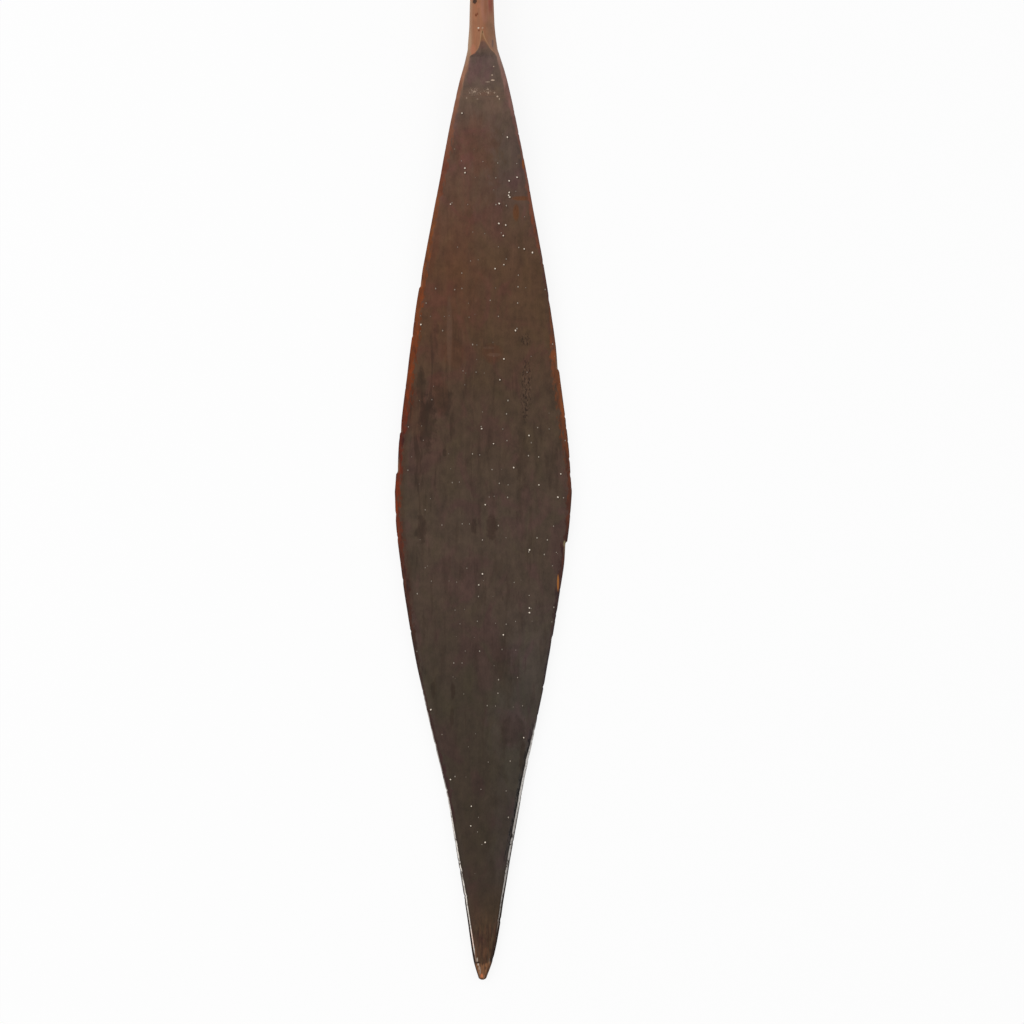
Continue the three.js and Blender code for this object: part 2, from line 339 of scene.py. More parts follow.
def halfWidthAt(place):
    onShaft = shaftOutline(place) * domeShare(place)
    widest = bladeSizes["widestPlace"]
    upper = blend(shaftSizes["shoulderWidth"], bladeSizes["width"], upperOutline(place / widest)) / 2
    lower = bladeSizes["width"] / 2 * lowerOutline((place - widest) / (bladeLength - widest))
    radius = bladeSizes["tipRadius"]
    fromTip = np.clip(bladeLength - place, 0, radius)
    rounded = np.sqrt((bladeSizes["tipBluntness"] / 2) ** 2 + fromTip * (2 * radius - fromTip))
    lower = np.where(fromTip < radius, np.minimum(lower, rounded), lower)
    return np.where(place < 0, onShaft, np.where(place < widest, upper, lower))


def stockDepthAt(place):  # before the face is planed
    return np.where(place < 0, shaftDepth(place) * domeShare(place), bladeDepth(place) + faceDrop)


def backHeightAt(place):
    return np.where(place < 0, shaftMiddle(place) - stockDepthAt(place) / 2, bladeBack(place))


def bladeShareAt(place):  # 0 on the shaft and 1 on the blade
    return ease(place, -0.25 * rise, 3 * rise)


def thinningAt(place):
    return np.minimum(1, bladeDepth(place) / bladeSizes["thickness"])


def rimTopAt(place):
    stock = stockDepthAt(place)
    onShaft = backHeightAt(place) + (stock + shaftSizes["sideBand"]) / 2
    face = backHeightAt(place) + stock - faceDepth(place)
    drop = (bladeSizes["faceCrown"] + bladeSizes["bevelDrop"]) * thinningAt(place)
    return blend(onShaft, face - drop, bladeShareAt(place))


def worn(place, reach):  # how much the blade's sharp corners are rounded
    radius = bladeSizes["rimRounding"]
    short = np.clip(radius - reach, 0, radius)
    return (radius - np.sqrt(radius ** 2 - short ** 2)) * bladeShareAt(place)


def stockFront(place, half, side):
    rimTop = rimTopAt(place)
    ridge = backHeightAt(place) + stockDepthAt(place)
    share = np.minimum(1, np.abs(side) / half)
    fade = ease(place, -shaftSizes["ridgeLength"], -shaftSizes["neckPlace"])
    power = blend(shaftSizes["plainOval"], shaftSizes["ridgePower"], fade)
    onShaft = blend(rimTop, ridge, (1 - share ** power) ** (1 / power))
    slope = bladeSizes["bevelDrop"] * thinningAt(place) / np.minimum(bladeSizes["bevelWidth"], 0.3 * half)
    onBlade = np.minimum(ridge, rimTop + slope * (half - np.abs(side)))
    return blend(onShaft, onBlade, bladeShareAt(place))


def planedFace(place, half, side):
    late = bladeSizes["runOutLag"] * ease(-side, -1, 2.8)
    late = late * ease(place, -rise, -0.3 * rise) * (1 - ease(place, 0, 0.55 * rise))
    face = backHeightAt(place) + stockDepthAt(place) - faceDepth(place - late)
    crown = bladeSizes["faceCrown"] * thinningAt(place) * bladeShareAt(place)
    return face - crown * (side / (1.1 * half + bladeSizes["bevelWidth"])) ** 2


def landHalfAt(place):
    length = bladeSizes["landLength"]
    start = ease(place, landStart - length / 2, landStart)
    end = ease(place, landEnd, landEnd + length / 2)
    return bladeSizes["landWidth"] / 2 * start * (1 - end)


def stockBack(place, half, side):
    bladeShare = bladeShareAt(place)
    rimBottom = rimTopAt(place) - blend(shaftSizes["sideBand"], bladeSizes["rimThickness"], bladeShare)
    away = np.minimum(np.abs(side), half)
    landHalf = landHalfAt(place)
    oval = np.sqrt(1 - (away / half) ** 2)
    bulge = 1 - (np.maximum(0, away - landHalf) / (half - landHalf)) ** 2
    keel = (1 - np.minimum(1, 2 * away / bladeSizes["keelWidth"]) ** 2) ** 2
    onBlade = blend(keel, bulge, ease(place, 0, bladeSizes["keelLength"]))
    return blend(rimBottom, backHeightAt(place), blend(oval, onBlade, bladeShare))


def softLower(first, second, rounding):  # the lower of two surfaces, their meeting eased
    near = np.maximum(0, rounding - np.abs(first - second))
    return np.minimum(first, second) - near ** 2 / (4 * rounding)


def columnShares(place, half, count, inner):
    # Places across one half as shares of it. On the shaft they follow a round section, and on the
    # blade they crowd together over the bevel and the rim.
    step = np.linspace(0, 1, count + 1)
    edge = np.minimum(skin["rimBand"], 0.45 * half) / half
    flat = np.minimum(step / inner, 1) * (1 - edge)
    outer = np.clip((step - inner) / (1 - inner), 0, 1)
    crowded = flat + edge * (1 - (1 - outer) ** 1.4)
    return blend(np.sin(step * math.pi / 2), crowded, ease(place, -55, -25))


def sideBySide(*parts):
    return np.concatenate(parts, axis=1)


def timberRings(places):
    # Points and finish facts of closed sections at these places: over the front from right to
    # left, down the left side, back along the underside and up the right side.
    place = np.array(places, float)[:, None]
    half = halfWidthAt(place)
    bladeShare = bladeShareAt(place)
    loss = {side: edgeLoss(place, side) * ease(place, 20, 60) for side in (1, -1)}
    uneven = waver(place, *skin["waver"]) * ease(place, 0, 60) * (1 - ease(place, 740, 790))
    frontShares = columnShares(place, half, *skin["frontColumns"])
    backShares = columnShares(place, half, *skin["backColumns"])

    def halfPoints(shares, side):
        kept = half + uneven * side + edgeStray[side](place) * ease(place, 30, 60) - loss[side]
        across = side * kept * shares
        gap = kept * (1 - shares)
        return across, gap

    def withSides(shares):
        right, rightGap = halfPoints(shares[:, ::-1], 1)
        left, leftGap = halfPoints(shares[:, 1:], -1)
        bare = sideBySide(loss[1] + 0 * rightGap, loss[-1] + 0 * leftGap)
        return sideBySide(right, left), sideBySide(rightGap, leftGap), bare

    across, gap, bare = withSides(frontShares)
    stock = stockFront(place, half, across)
    planed = planedFace(place, half, across)
    front = softLower(stock, planed, bladeSizes["arrisRounding"])
    front = front - worn(place, gap)
    swell = unevenness(place, across, *skin["faceSwell"])
    front = front + bladeSizes["unevenness"] * swell * bladeShare
    frontPlaned = stock - planed

    below, belowGap, belowBare = (part[:, ::-1] for part in withSides(backShares))
    back = stockBack(place, half, below) + worn(place, belowGap)
    sole = ease(landHalfAt(place) + 6 - np.abs(below), 0, 5) * ease(landHalfAt(place), 0, 4)
    stray = unevenness(place, below, *skin["strokeSwell"])
    strokes = place / bladeSizes["toolMarkLength"] + 0.9 * stray
    marks = np.abs(np.sin(math.pi * strokes))
    fade = bladeShare * ease(belowGap, 2, 9) * (1 - sole)
    back = back + bladeSizes["toolMarks"] * (marks - 0.5) * fade
    swell = unevenness(place, below, *skin["backSwell"])
    back = back + 1.2 * bladeSizes["unevenness"] * swell * fade

    lumps = shaftSizes["unevenness"] * (1 - bladeShare) * ease(place, buttEnd + 20, buttEnd + 60)
    front = front + lumps * unevenness(place, across, *skin["shaftFrontSwell"])
    back = back + lumps * unevenness(place, below, *skin["shaftBackSwell"])

    leftMiddle = (front[:, -1:] + back[:, :1]) / 2
    rightMiddle = (front[:, :1] + back[:, -1:]) / 2
    height = sideBySide(front, leftMiddle, back, rightMiddle)
    acrossAll = sideBySide(across, across[:, -1:], below, across[:, :1])
    none = np.zeros_like(place)
    keelLength = bladeSizes["keelLength"]
    onKeel = np.exp(-(below / 5) ** 2) * (1 - ease(place, 0.5 * keelLength, keelLength))
    crest = np.maximum(onKeel, sole) * ease(place, -10, 40)
    facts = {
        "rimGap": sideBySide(gap, none, belowGap, none),
        "planed": sideBySide(frontPlaned, none - 3, 0 * back - 3, none - 3).clip(-3, 3),
        "front": sideBySide(front * 0 + 1, none + 0.5, back * 0, none + 0.5),
        "bare": sideBySide(bare, loss[-1], belowBare, loss[1]),
        "crest": sideBySide(0 * front, none, crest, none),
    }
    centre = (height.max(axis=1, keepdims=True) + height.min(axis=1, keepdims=True)) / 2
    toTip = np.clip(1 - (bladeLength - place) / bladeSizes["tipRounding"], 0, 1)
    height = centre + (height - centre) * blend(1, 0.3, 1 - np.sqrt(1 - toTip ** 2))
    along = place + shoulders + 0 * height
    points = np.stack([along, acrossAll + centreSway(place), np.maximum(height, 0)], axis=2)
    return points * millimetre, facts


def placesBetween(start, end, spacing):  # steps that follow a curve of spacings
    places = [start]
    while places[-1] < end:
        places.append(places[-1] + float(spacing(places[-1])))
    stretch = (end - start) / (places[-1] - start)
    return [start + (place - start) * stretch for place in places]


def makeLength(name, places, finish):
    # The two flat ends have points of their own, so that they don't bend the shading of the sides
    def withEnds(rows):
        return np.concatenate([rows, rows[[0, -1]]])

    points, facts = timberRings(places)
    rows, size = points.shape[:2]
    index = np.arange((rows + 2) * size).reshape(rows + 2, size)
    sides = index[:rows]
    beside = np.roll(sides, -1, axis=1)
    quads = np.stack([sides[:-1], beside[:-1], beside[1:], sides[1:]], axis=2).reshape(-1, 4)
    faces = [*quads.tolist(), index[-2, ::-1].tolist(), index[-1].tolist()]
    mesh = bpy.data.meshes.new(name)
    mesh.from_pydata(withEnds(points).reshape(-1, 3).tolist(), [], faces)
    for fact, values in facts.items():
        laid = mesh.attributes.new(fact, "FLOAT", "POINT")
        laid.data.foreach_set("value", withEnds(values).reshape(-1).astype(np.float32))
    smooth = np.ones(len(mesh.polygons), bool)
    smooth[-2:] = False  # the two ends are flat cuts
    mesh.polygons.foreach_set("use_smooth", smooth)
    mesh.materials.append(finish)
    mesh.validate()
    piece = bpy.data.objects.new(name, mesh)
    scene.collection.objects.link(piece)
    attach(piece, "root")
    print(name, "made with", len(mesh.polygons), "faces")
    return piece


class Wire:  # an output socket, with sums that add Math nodes
    def __init__(self, bench, socket):
        self.bench = bench
        self.socket = socket

    def __add__(self, other):
        return self.bench.sum("ADD", self, other)

    def __sub__(self, other):
        return self.bench.sum("SUBTRACT", self, other)

    def __rsub__(self, other):
        return self.bench.sum("SUBTRACT", other, self)

    def __mul__(self, other):
        return self.bench.sum("MULTIPLY", self, other)

    def __truediv__(self, other):
        return self.bench.sum("DIVIDE", self, other)

    def __pow__(self, other):
        return self.bench.sum("POWER", self, other)

    def __abs__(self):
        return self.bench.sum("ABSOLUTE", self)

    def rise(self, start, end):  # smooth rise from 0 to 1
        ends = {"Value": self, "From Min": start, "From Max": end}
        return self.bench.add("MapRange", {"interpolation_type": "SMOOTHSTEP"}, ends)

    def fall(self, start, end):  # smooth fall from 1 to 0
        return 1 - self.rise(start, end)

    def within(self, start, end, soft):  # 1 between two values, easing to 0 outside
        return self.rise(start - soft, start + soft) * self.fall(end - soft, end + soft)

    __radd__ = __add__
    __rmul__ = __mul__


class Bench:  # lays out nodes in a material, a world or a group
    def __init__(self, tree):
        self.tree = tree
        self.tree.nodes.clear()

    def find(self, sockets, key):
        if isinstance(key, int):
            return sockets[key]
        return next(socket for socket in sockets if socket.name == key and socket.enabled)

    def add(self, kind, settings, sockets, output=0):
        node = self.tree.nodes.new(kind if kind.startswith("NodeGroup") else "ShaderNode" + kind)
        for setting, value in settings.items():
            if setting == "stops":
                self.layStops(node.color_ramp, value)
            else:
                setattr(node, setting, value)
        for key, value in sockets.items():
            socket = self.find(node.inputs, key)
            if isinstance(value, Wire):
                self.tree.links.new(value.socket, socket)
            else:
                socket.default_value = value
        return Wire(self, self.find(node.outputs, output)) if len(node.outputs) else node

    def layStops(self, ramp, stops):
        for i, (share, colour) in enumerate(stops):
            stop = ramp.elements[i] if i < 2 else ramp.elements.new(share)
            stop.position = share
            stop.color = colour

    def sum(self, operation, *values):
        return self.add("Math", {"operation": operation}, dict(enumerate(values)))

    def most(self, first, *others):  # the largest of several masks
        for other in others:
            first = self.sum("MAXIMUM", first, other)
        return first

    def mix(self, share, first, second, manner="MIX"):
        settings = {"data_type": "RGBA", "blend_type": manner}
        return self.add("Mix", settings, {"Factor": share, "A": first, "B": second}, "Result")

    def shade(self, colour, brightness):  # colour made lighter or darker
        plain = colour if isinstance(colour, Wire) else colour[:3]
        return self.add("VectorMath", {"operation": "SCALE"}, {0: plain, "Scale": brightness})

    def alongRamp(self, place, stops):  # colours at places along the paddle
        start, end = stops[0][0], stops[-1][0]
        laid = [((at - start) / (end - start), colour) for at, colour in stops]
        share = (place - start) / (end - start)
        return self.add("ValToRGB", {"stops": laid}, {"Fac": share}, "Color")

    def levelRamp(self, place, stops):  # plain numbers at places along the paddle
        most = max(level for _, level in stops)
        grey = [(at, (level / most, level / most, level / most, 1)) for at, level in stops]
        return self.alongRamp(place, grey) * most


def newMaterial(name, kind=Bench):
    material = bpy.data.materials.new(name)
    material.use_nodes = True
    return material, kind(material.node_tree)


def paint(red, green, blue):  # a colour as seen on screen, 0 to 255
    parts = (part / 255 for part in (red, green, blue))
    return (*(part / 12.92 if part < 0.04045 else ((part + 0.055) / 1.055) ** 2.4 for part in parts), 1)


timberSheen = 0.0084  # what the satin surface adds to every colour
bevelSheen = 0.0156  # and to those of the left edge, whose bevel faces the main lamp


def wood(red, green, blue, sheen=timberSheen):  # the timber as it shows in soft light, less the sheen
    return (*(max(0.002, part - sheen) for part in paint(red, green, blue)[:3]), 1)


timberFinish = {
    # colours as they show on screen, 0 to 255
    "colours": {
        "rubbedWood": (160, 109, 81),  # the shaft's left side, and its right side in painted shade
        "rubbedShade": (154, 110, 85),
        "pinkWood": (164, 114, 98),
        "redStreak": (142, 74, 62),
        # painted sheen on the shaft's rounded left side
        "paleSide": (172, 140, 112),
        "handled": (116, 74, 50),  # where hands have polished the shaft
        "slotWood": (124, 92, 64),  # in the point of the run-out
        "knot": (62, 48, 40),
        "redPit": (112, 60, 40),
        "blueMark": (98, 84, 86),
        "speck": (246, 232, 214),
        "scuff": (205, 180, 158),
        "rosyPlace": (180, 116, 92),
        "arrisWood": (170, 134, 100),
        "scratched": (112, 88, 74),
        "paleLine": (240, 232, 222),
        # dark cracks and pits, and the painted shade along the rims
        "darkLine": (38, 30, 27),
        "blackened": (30, 29, 29),
        "bareWood": (132, 110, 88),
        "orangeStain": (106, 62, 32),
        "tipWood": (124, 87, 62),
        "tipGlint": (222, 204, 184),
        "tipOrange": (206, 122, 82),
        "endWood": (104, 76, 56),
        "smudge": (52, 40, 33),
    },
    # what each glaze multiplies the colour under it by
    "glazes": {
        "weathered": (0.88, 1.02, 1.1),
        "yellowed": (1.06, 0.96, 0.84),
        "brownNeck": (0.86, 0.81, 0.72),
        "oliveNeck": (0.85, 0.89, 0.9),
        "greyNeck": (1, 1.13, 1.28),
        # painted light on the left of the face and painted shade on its right
        "warm": (1.09, 0.98, 0.94),
        "cool": (0.9, 0.99, 1.14),
        "ashen": (1.12, 1.22, 1.42),
        "plum": (1.08, 0.92, 1.06),
        "mossy": (0.98, 1.03, 0.95),
        "red": (1.3, 0.84, 0.72),
        "ember": (1.4, 1.22, 0.85),
        "charred": (0.62, 0.6, 0.72),
        "besideEdge": (0.92, 0.8, 0.74),
        "besideLine": (1, 1.06, 1.2),
        "coolLine": (0.97, 1, 1.06),
        "tipLight": (1.3, 1.2, 1.18),
        "tipDark": (0.68, 0.62, 0.64),
        "tipWarm": (1.2, 0.97, 0.9),
        "tipRight": (1.02, 1.12, 1.08),
    },
    # grains, each from about -0.5 to 0.5: length, width, shift, detail, unevenness, twist
    "grains": {
        "fibre": (26, 0.5, 1, 3),
        "band": (90, 1.7, 23, 3, 0.6),
        "streak": (150, 4, 5, 2, 0.6, 0.4),
        "tone": (190, 26, 9),
        "blotch": (34, 13, 12, 4, 0.62, 0.6),
        "cloud": (9, 7, 15, 3, 0.6),
        "crumb": (2.2, 1.2, 18, 2, 0.6),
        "weather": (60, 3.5, 91, 3, 0.6, 0.3),
        "bloom": (40, 26, 51, 3, 0.6, 0.8),
        "drip": (44, 7, 61, 3, 0.6, 0.5),
        "scratch": (2.8, 1.1, 83, 3, 0.7, 0.6),
        "notch": (5, 2.2, 43, 3, 0.65),
        "ember": (16, 4, 55, 3, 0.65),
        "lineBreak": (6, 3, 31, 3, 0.7),
        "lineCrumb": (2, 0.8, 37, 2, 0.7),
        "bite": (5, 1.6, 61, 3, 0.7),
        "mottle": (8, 2, 47, 3, 0.6),
        "crossways": (0.9, 13, 71, 2, 0.6),
        "fleck": (1.3, 0.7, 75, 3, 0.8, 1.2),
        "pore": (4, 0.5, 81, 2, 0.6),
    },
    # what hands have polished: start, end, softness
    "grips": [(-500, -330, 40), (-880, -770, 30)],
    # marks by colour: place and reach along, place and reach across, strength
    "neckMarks": {
        "knot": [(-41, 2.5, -7, 1.8, 0.95), (-14.8, 1.7, -0.3, 0.5, 0.6)],
        "redPit": [(-29.2, 1.4, -5.9, 1, 0.8), (-30.2, 1.2, -4.6, 0.7, 0.7), (-16, 0.9, -3.4, 0.7, 0.8)],
        # the first rosy place, left of the run-out, is a painted highlight
        "rosyPlace": [(0, 4.5, -8.6, 2.6, 0.55), (-37.4, 2.4, -3.6, 1.4, 0.3)],
        "speck": [(-18.2, 0.6, -3.9, 0.8, 0.75)],
        "scuff": [(-18.2, 0.7, -0.2, 1.2, 0.4)],
        "blueMark": [(-5, 3.6, 8.4, 0.9, 0.6)],
    },
    "tipMarks": {
        "knot": [(790.1, 1.8, 2, 0.8, 0.6), (783, 1, 0.9, 0.7, 0.4)],
        "tipOrange": [(796.9, 2.3, -1, 1.1, 0.75)],
        "tipGlint": [
            (782.8, 2, -4.9, 0.7, 0.5), (786.8, 1.2, -4.2, 0.7, 0.7), (789.7, 1.9, -3.1, 0.9, 0.3),
            (793.2, 2.4, -2.3, 0.7, 0.25), (797.4, 1.6, 1.3, 0.7, 0.15), (784.5, 4.2, 5.6, 0.5, 0.15),
        ],
        "darkLine": [(785, 0.6, -4, 2, 0.8)],
    },
    # the dark patina and the worn edges: place along the paddle, and the colour there
    "patina": [
        (-10, 114, 86, 68), (5, 98, 83, 75), (45, 101, 82, 71), (70, 95, 75, 64), (190, 90, 66, 51),
        (245, 86, 65, 50), (300, 79, 63, 51), (400, 78, 65, 55), (480, 76, 63, 54), (550, 67, 58, 49),
        (715, 63, 53, 45), (775, 79, 60, 46),
    ],
    "leftEdge": [
        (0, 164, 128, 104), (25, 147, 102, 82), (60, 128, 87, 68), (100, 118, 68, 52), (150, 119, 72, 46),
        (280, 115, 59, 34), (335, 80, 42, 19), (400, 112, 54, 28), (440, 82, 49, 40), (520, 61, 46, 41),
        (630, 70, 49, 48),
    ],
    "rightEdge": [
        (0, 150, 120, 106), (20, 143, 107, 97), (60, 117, 83, 75), (105, 122, 77, 63), (150, 116, 72, 57),
        (190, 80, 56, 52), (280, 118, 71, 46), (335, 98, 57, 38), (430, 70, 42, 37), (520, 60, 50, 49),
    ],
    # how far in the worn edges reach: place along the paddle, and the width there
    "leftEdgeWidth": [
        (0, 2.4), (15, 4.4), (32, 3.6), (100, 4.6), (150, 3.8), (270, 6), (298, 6.8), (332, 4), (400, 4.4),
        (450, 4.4), (560, 2.4), (640, 4), (690, 2),
    ],
    "rightEdgeWidth": [
        (0, 3), (42, 4.6), (62, 3), (86, 1.4), (108, 2), (146, 4), (180, 2.2), (225, 1.6), (262, 5.6),
        (330, 5), (400, 3.6), (470, 3), (560, 1.2),
    ],
    # the pale line along the lower rims, part wear and part painted highlight, in the same way: its
    # strength, and its gap from the outline
    "leftLine": [
        (535, 0), (570, 0.5), (630, 0.4), (655, 0.9), (690, 1), (730, 1), (755, 0.9), (775, 0.8), (786, 0),
    ],
    "rightLine": [
        (575, 0), (590, 0.65), (600, 0.72), (645, 0.76), (664, 0.62), (704, 0.58), (722, 0.48), (745, 0.3),
        (760, 0),
    ],
    "leftLineGap": [
        (535, 0.2), (625, 0.25), (660, 0.55), (690, 0.9), (712, 1.2), (760, 1.8), (785, 2.3),
    ],
    "rightLineGap": [
        (575, 0.4), (605, 0.92), (640, 1.2), (664, 1.38), (705, 1.55), (735, 1.8),
    ],
    # marks on the face: place and reach along, place and reach across, strength
    "smudges": [
        (322, 24, -47, 8, 0.5), (300, 15, -36, 11, 0.4), (287, 18, -53, 4, 0.4), (410, 13, 7.3, 5, 0.5),
        (413, 13, -53, 5, 0.45), (411, 7, -7.7, 2.4, 0.5), (551, 8, -26, 2, 0.55),
        (550, 8, -43, 1.8, 0.45), (574, 10, -27, 2, 0.4), (346, 3.4, -33, 2, 0.55), (347, 34, 34, 6, 0.25),
        (586, 14, 26, 11, 0.3), (240, 6, -40, 2.6, 0.3), (610, 17, 34.6, 3, 0.5),
    ],
    "rubbedPlaces": [
        (48, 8, 8, 9, 0.4), (262, 1.6, 9, 7, 0.3), (256, 1.2, 5, 5, 0.25), (244, 34, -29, 2.6, 0.25),
        (91.5, 2, 31, 1.5, 0.5),
    ],
    "redPlaces": [
        (82, 26, -4, 20, 0.25), (261, 9, 8, 10, 0.5), (262, 12, -26, 12, 0.3), (150, 40, -44, 9, 0.3),
        (312, 24, -56, 8, 0.35), (296, 18, -38, 8, 0.3), (180, 60, -20, 14, 0.12), (38, 2.2, 2.6, 8, 0.35),
    ],
    # places on the rims that show another colour, all of them as strong
    "chipStrength": 0.8,
    "rimChips": [
        (458.5, 7, 64.6, 0.9, (176, 112, 56)), (424.6, 3, 70.2, 1.3, (140, 128, 92)),
        (262, 5, 60.5, 2.6, (132, 74, 42)), (145.5, 4.6, 42.4, 1.2, (122, 68, 46)),
        (98, 4.4, 34.6, 1.1, (134, 78, 38)),
    ],
    # the clearest of the small nicks through the patina: place and place across
    "nicks": [
        (54.5, -18), (75, 21), (101.5, -15.5), (105.5, -15.5), (109.5, 29.5), (112.5, 22.5), (122.5, 22.5),
        (125, 22), (126.5, 23), (132, 14), (132.5, -28), (149, 13.5), (150.5, 19.5), (159.5, 17.5),
        (171, 35.5), (174, 42.5), (184.5, 18), (188, 10.5), (236, -53.5), (241, 28), (265.5, 18),
        (283.5, 14.5), (325.5, -1), (331.5, 39.5), (338.5, 9), (359, 26.5), (364.5, 67), (374, 48),
        (384.5, 64.5), (391, 2), (430, 40), (450.5, -0.5), (460, -3.5), (480, 40), (484, 40), (503, 17.5),
        (567.5, -45), (591.5, 35), (627.5, -28), (650.5, -10), (667.5, -10.5), (681.5, 2),
    ],
    # nicks anywhere, pale and dark: length and width of their cells, shift, share that is kept, reach
    "scatter": (12, 8, 3, 0.24, 0.55),
    "darkScatter": (26, 6, 17, 0.2, 0.55),
    # scuffs under the shoulders, the same way as the marks above
    "flecked": [(36.1, 3.6, -8, 4.8, 1), (35.7, 3.6, 3.9, 3.2, 0.9), (37.5, 1.8, -2.2, 2.8, 0.6)],
    "scuffs": [
        (40.2, 0.8, 12.5, 0.8, 0.8), (42.3, 1, 14.1, 0.5, 0.5), (37, 0.8, 9.9, 0.8, 0.35),
        (36, 0.9, -7.2, 1.2, 0.45), (37.2, 0.7, 4.7, 0.7, 0.6), (34, 0.6, 4.3, 0.9, 0.4),
        (42.4, 0.5, -4.7, 1, 0.25), (41.5, 1, -14, 0.6, 0.25), (27.8, 0.45, 3.9, 2.2, 0.4),
        (26.3, 0.6, 8.5, 1.7, 0.85), (21.9, 0.5, 7.8, 0.9, 0.8), (14.6, 0.5, 9.2, 0.5, 0.8),
    ],
    "stains": [(127.6, 2.2, 33, 9, 0.55), (140, 7.5, 28.4, 2.9, 0.55)],
    "pitted": [(249.5, 6, 36.7, 4, 1), (291, 27, 37.4, 5, 1)],
    # growth rings of a tree much wider than the paddle: its middle from the paddle's, in metres
    "ringMiddle": (0, 0.052, 0.031),
    "ringScale": 130,
    "roughness": 0.5,
    "shine": 0.12,
    "grainDepth": 0.0001,
    "grainStrength": 0.6,
}


def newGroup(name, inputs, output):
    # A group of nodes that is laid many times: it takes these inputs and gives one number
    tree = bpy.data.node_groups.new(name, "ShaderNodeTree")
    for socket, kind in inputs.items():
        tree.interface.new_socket(socket, in_out="INPUT", socket_type="NodeSocket" + kind)
    tree.interface.new_socket(output, in_out="OUTPUT", socket_type="NodeSocketFloat")
    return tree, Bench(tree)


def roundedMark():
    # A mark around a place along and across, 1 in its middle
    inputs = ("Place", "Across", "At", "Reach", "Off", "Reach Across", "Ragged")
    tree, bench = newGroup("roundedMark", dict.fromkeys(inputs, "Float"), "Mark")
    ports = [bench.add("NodeGroupInput", {}, {}, name) for name in inputs]
    place, across, at, reach, off, reachAcross, ragged = ports
    away = ((place - at) / reach) ** 2 + ((across - off) / reachAcross) ** 2
    bench.add("NodeGroupOutput", {}, {"Mark": (away + ragged).fall(0.35, 1.3)})
    return tree


def awayFrom(marks):
    # The distance to the nearest of these marks
    tree, bench = newGroup("awayFromMarks", {"Spot": "Vector"}, "Away")
    spot = bench.add("NodeGroupInput", {}, {})
    nearest = bladeLength
    for place, across in marks:
        away = bench.add("VectorMath", {"operation": "DISTANCE"}, {0: spot, 1: (place, across, 0)}, "Value")
        nearest = bench.sum("MINIMUM", nearest, away)
    bench.add("NodeGroupOutput", {}, {"Away": nearest})
    return tree


class Timber(Bench):  # the bench of the timber's finish, and what it knows of the surface
    def __init__(self, tree):
        super().__init__(tree)
        self.markTree = roundedMark()
        self.here = self.add("TexCoord", {}, {}, "Object")
        self.place = self.add("SeparateXYZ", {}, {0: self.here}, "X") / millimetre - shoulders
        self.across = self.add("SeparateXYZ", {}, {0: self.here}, "Y") / millimetre
        for fact in ("rimGap", "planed", "front", "bare", "crest"):
            setattr(self, fact, self.add("Attribute", {"attribute_name": fact}, {}, "Fac"))
        self.share = self.across / (abs(self.across) + self.rimGap + 0.1)  # -1 left rim, 1 right rim
        self.right = self.across.rise(-2, 2)
        for name, grain in timberFinish["grains"].items():
            setattr(self, name, self.grain(*grain))

    def stretched(self, length, width, shift):  # coordinates along the grain
        scale = [1 / (size * millimetre) for size in (length, width, width)]
        moved = {"Vector": self.here, "Location": (shift, 2 * shift, 0), "Scale": scale}
        return self.add("Mapping", {}, moved)

    def grain(self, length, width, shift, detail=2, uneven=0.5, twist=0):
        sockets = {"Vector": self.stretched(length, width, shift), "Scale": 1, "Detail": detail}
        sockets.update({"Roughness": uneven, "Distortion": twist})
        return self.add("TexNoise", {}, sockets, "Fac") - 0.5

    def varied(self, level=1, **shares):  # a level made uneven by shares of some grains
        for name, share in shares.items():
            level = level + share * getattr(self, name)
        return level

    def woodRamp(self, name, sheen=timberSheen):
        return self.alongRamp(self.place, [(at, wood(*seen, sheen)) for at, *seen in timberFinish[name]])

    def bySide(self, name):  # a level along the paddle that is not the same left and right
        left, right = (self.levelRamp(self.place, timberFinish[side + name]) for side in ("left", "right"))
        return left + (right - left) * self.right

    def spot(self, at, reach, off, reachAcross, ragged=0):
        here = {"Place": self.place, "Across": self.across, "Ragged": ragged}
        mark = {"At": at, "Reach": reach, "Off": off, "Reach Across": reachAcross}
        return self.add("Group", {"node_tree": self.markTree}, {**here, **mark}, "Mark")

    def spots(self, marks, ragged):  # each of these marks on the front, with its strength
        for *mark, strength in marks:
            yield self.spot(*mark, ragged) * self.front * strength

    def dots(self, length, width, shift, keep, reach):
        # Scattered marks, one in some of the cells of this size: 1 in the middle and 0 at twice the reach
        sockets = {"Vector": self.stretched(length, width, shift), "Scale": 1}
        flat = {"feature": "F1", "voronoi_dimensions": "2D"}
        away = self.add("TexVoronoi", flat, sockets, "Distance") * width
        chances = {0: self.add("TexVoronoi", flat, sockets, "Color")}
        parts = (self.add("SeparateColor", {}, chances, part) for part in ("Red", "Green", "Blue"))
        draw, level, size = parts
        chosen = draw.rise(1 - keep, 1.01 - keep)
        away = away / (0.6 + 0.6 * size)
        dot = away.fall(0.45 * reach, reach) * chosen * (0.3 + 0.7 * level)
        return dot, away.fall(reach, 2 * reach) * chosen


class Coat:  # the colour so far, and what is laid over it in turn
    def __init__(self, timber, colour):
        self.timber = timber
        self.colour = self.named(colour)

    def named(self, colour):
        return wood(*timberFinish["colours"][colour]) if isinstance(colour, str) else colour

    def lay(self, share, colour):
        self.colour = self.timber.mix(share, self.colour, self.named(colour))

    def layMarks(self, marks, colour, ragged):
        for spot in self.timber.spots(marks, ragged):
            self.lay(spot, colour)

    def glaze(self, share, name):  # multiplies the colour
        self.colour = self.timber.mix(share, self.colour, (*timberFinish["glazes"][name], 1), "MULTIPLY")

    def shade(self, brightness):
        self.colour = self.timber.shade(self.colour, brightness)
        return self


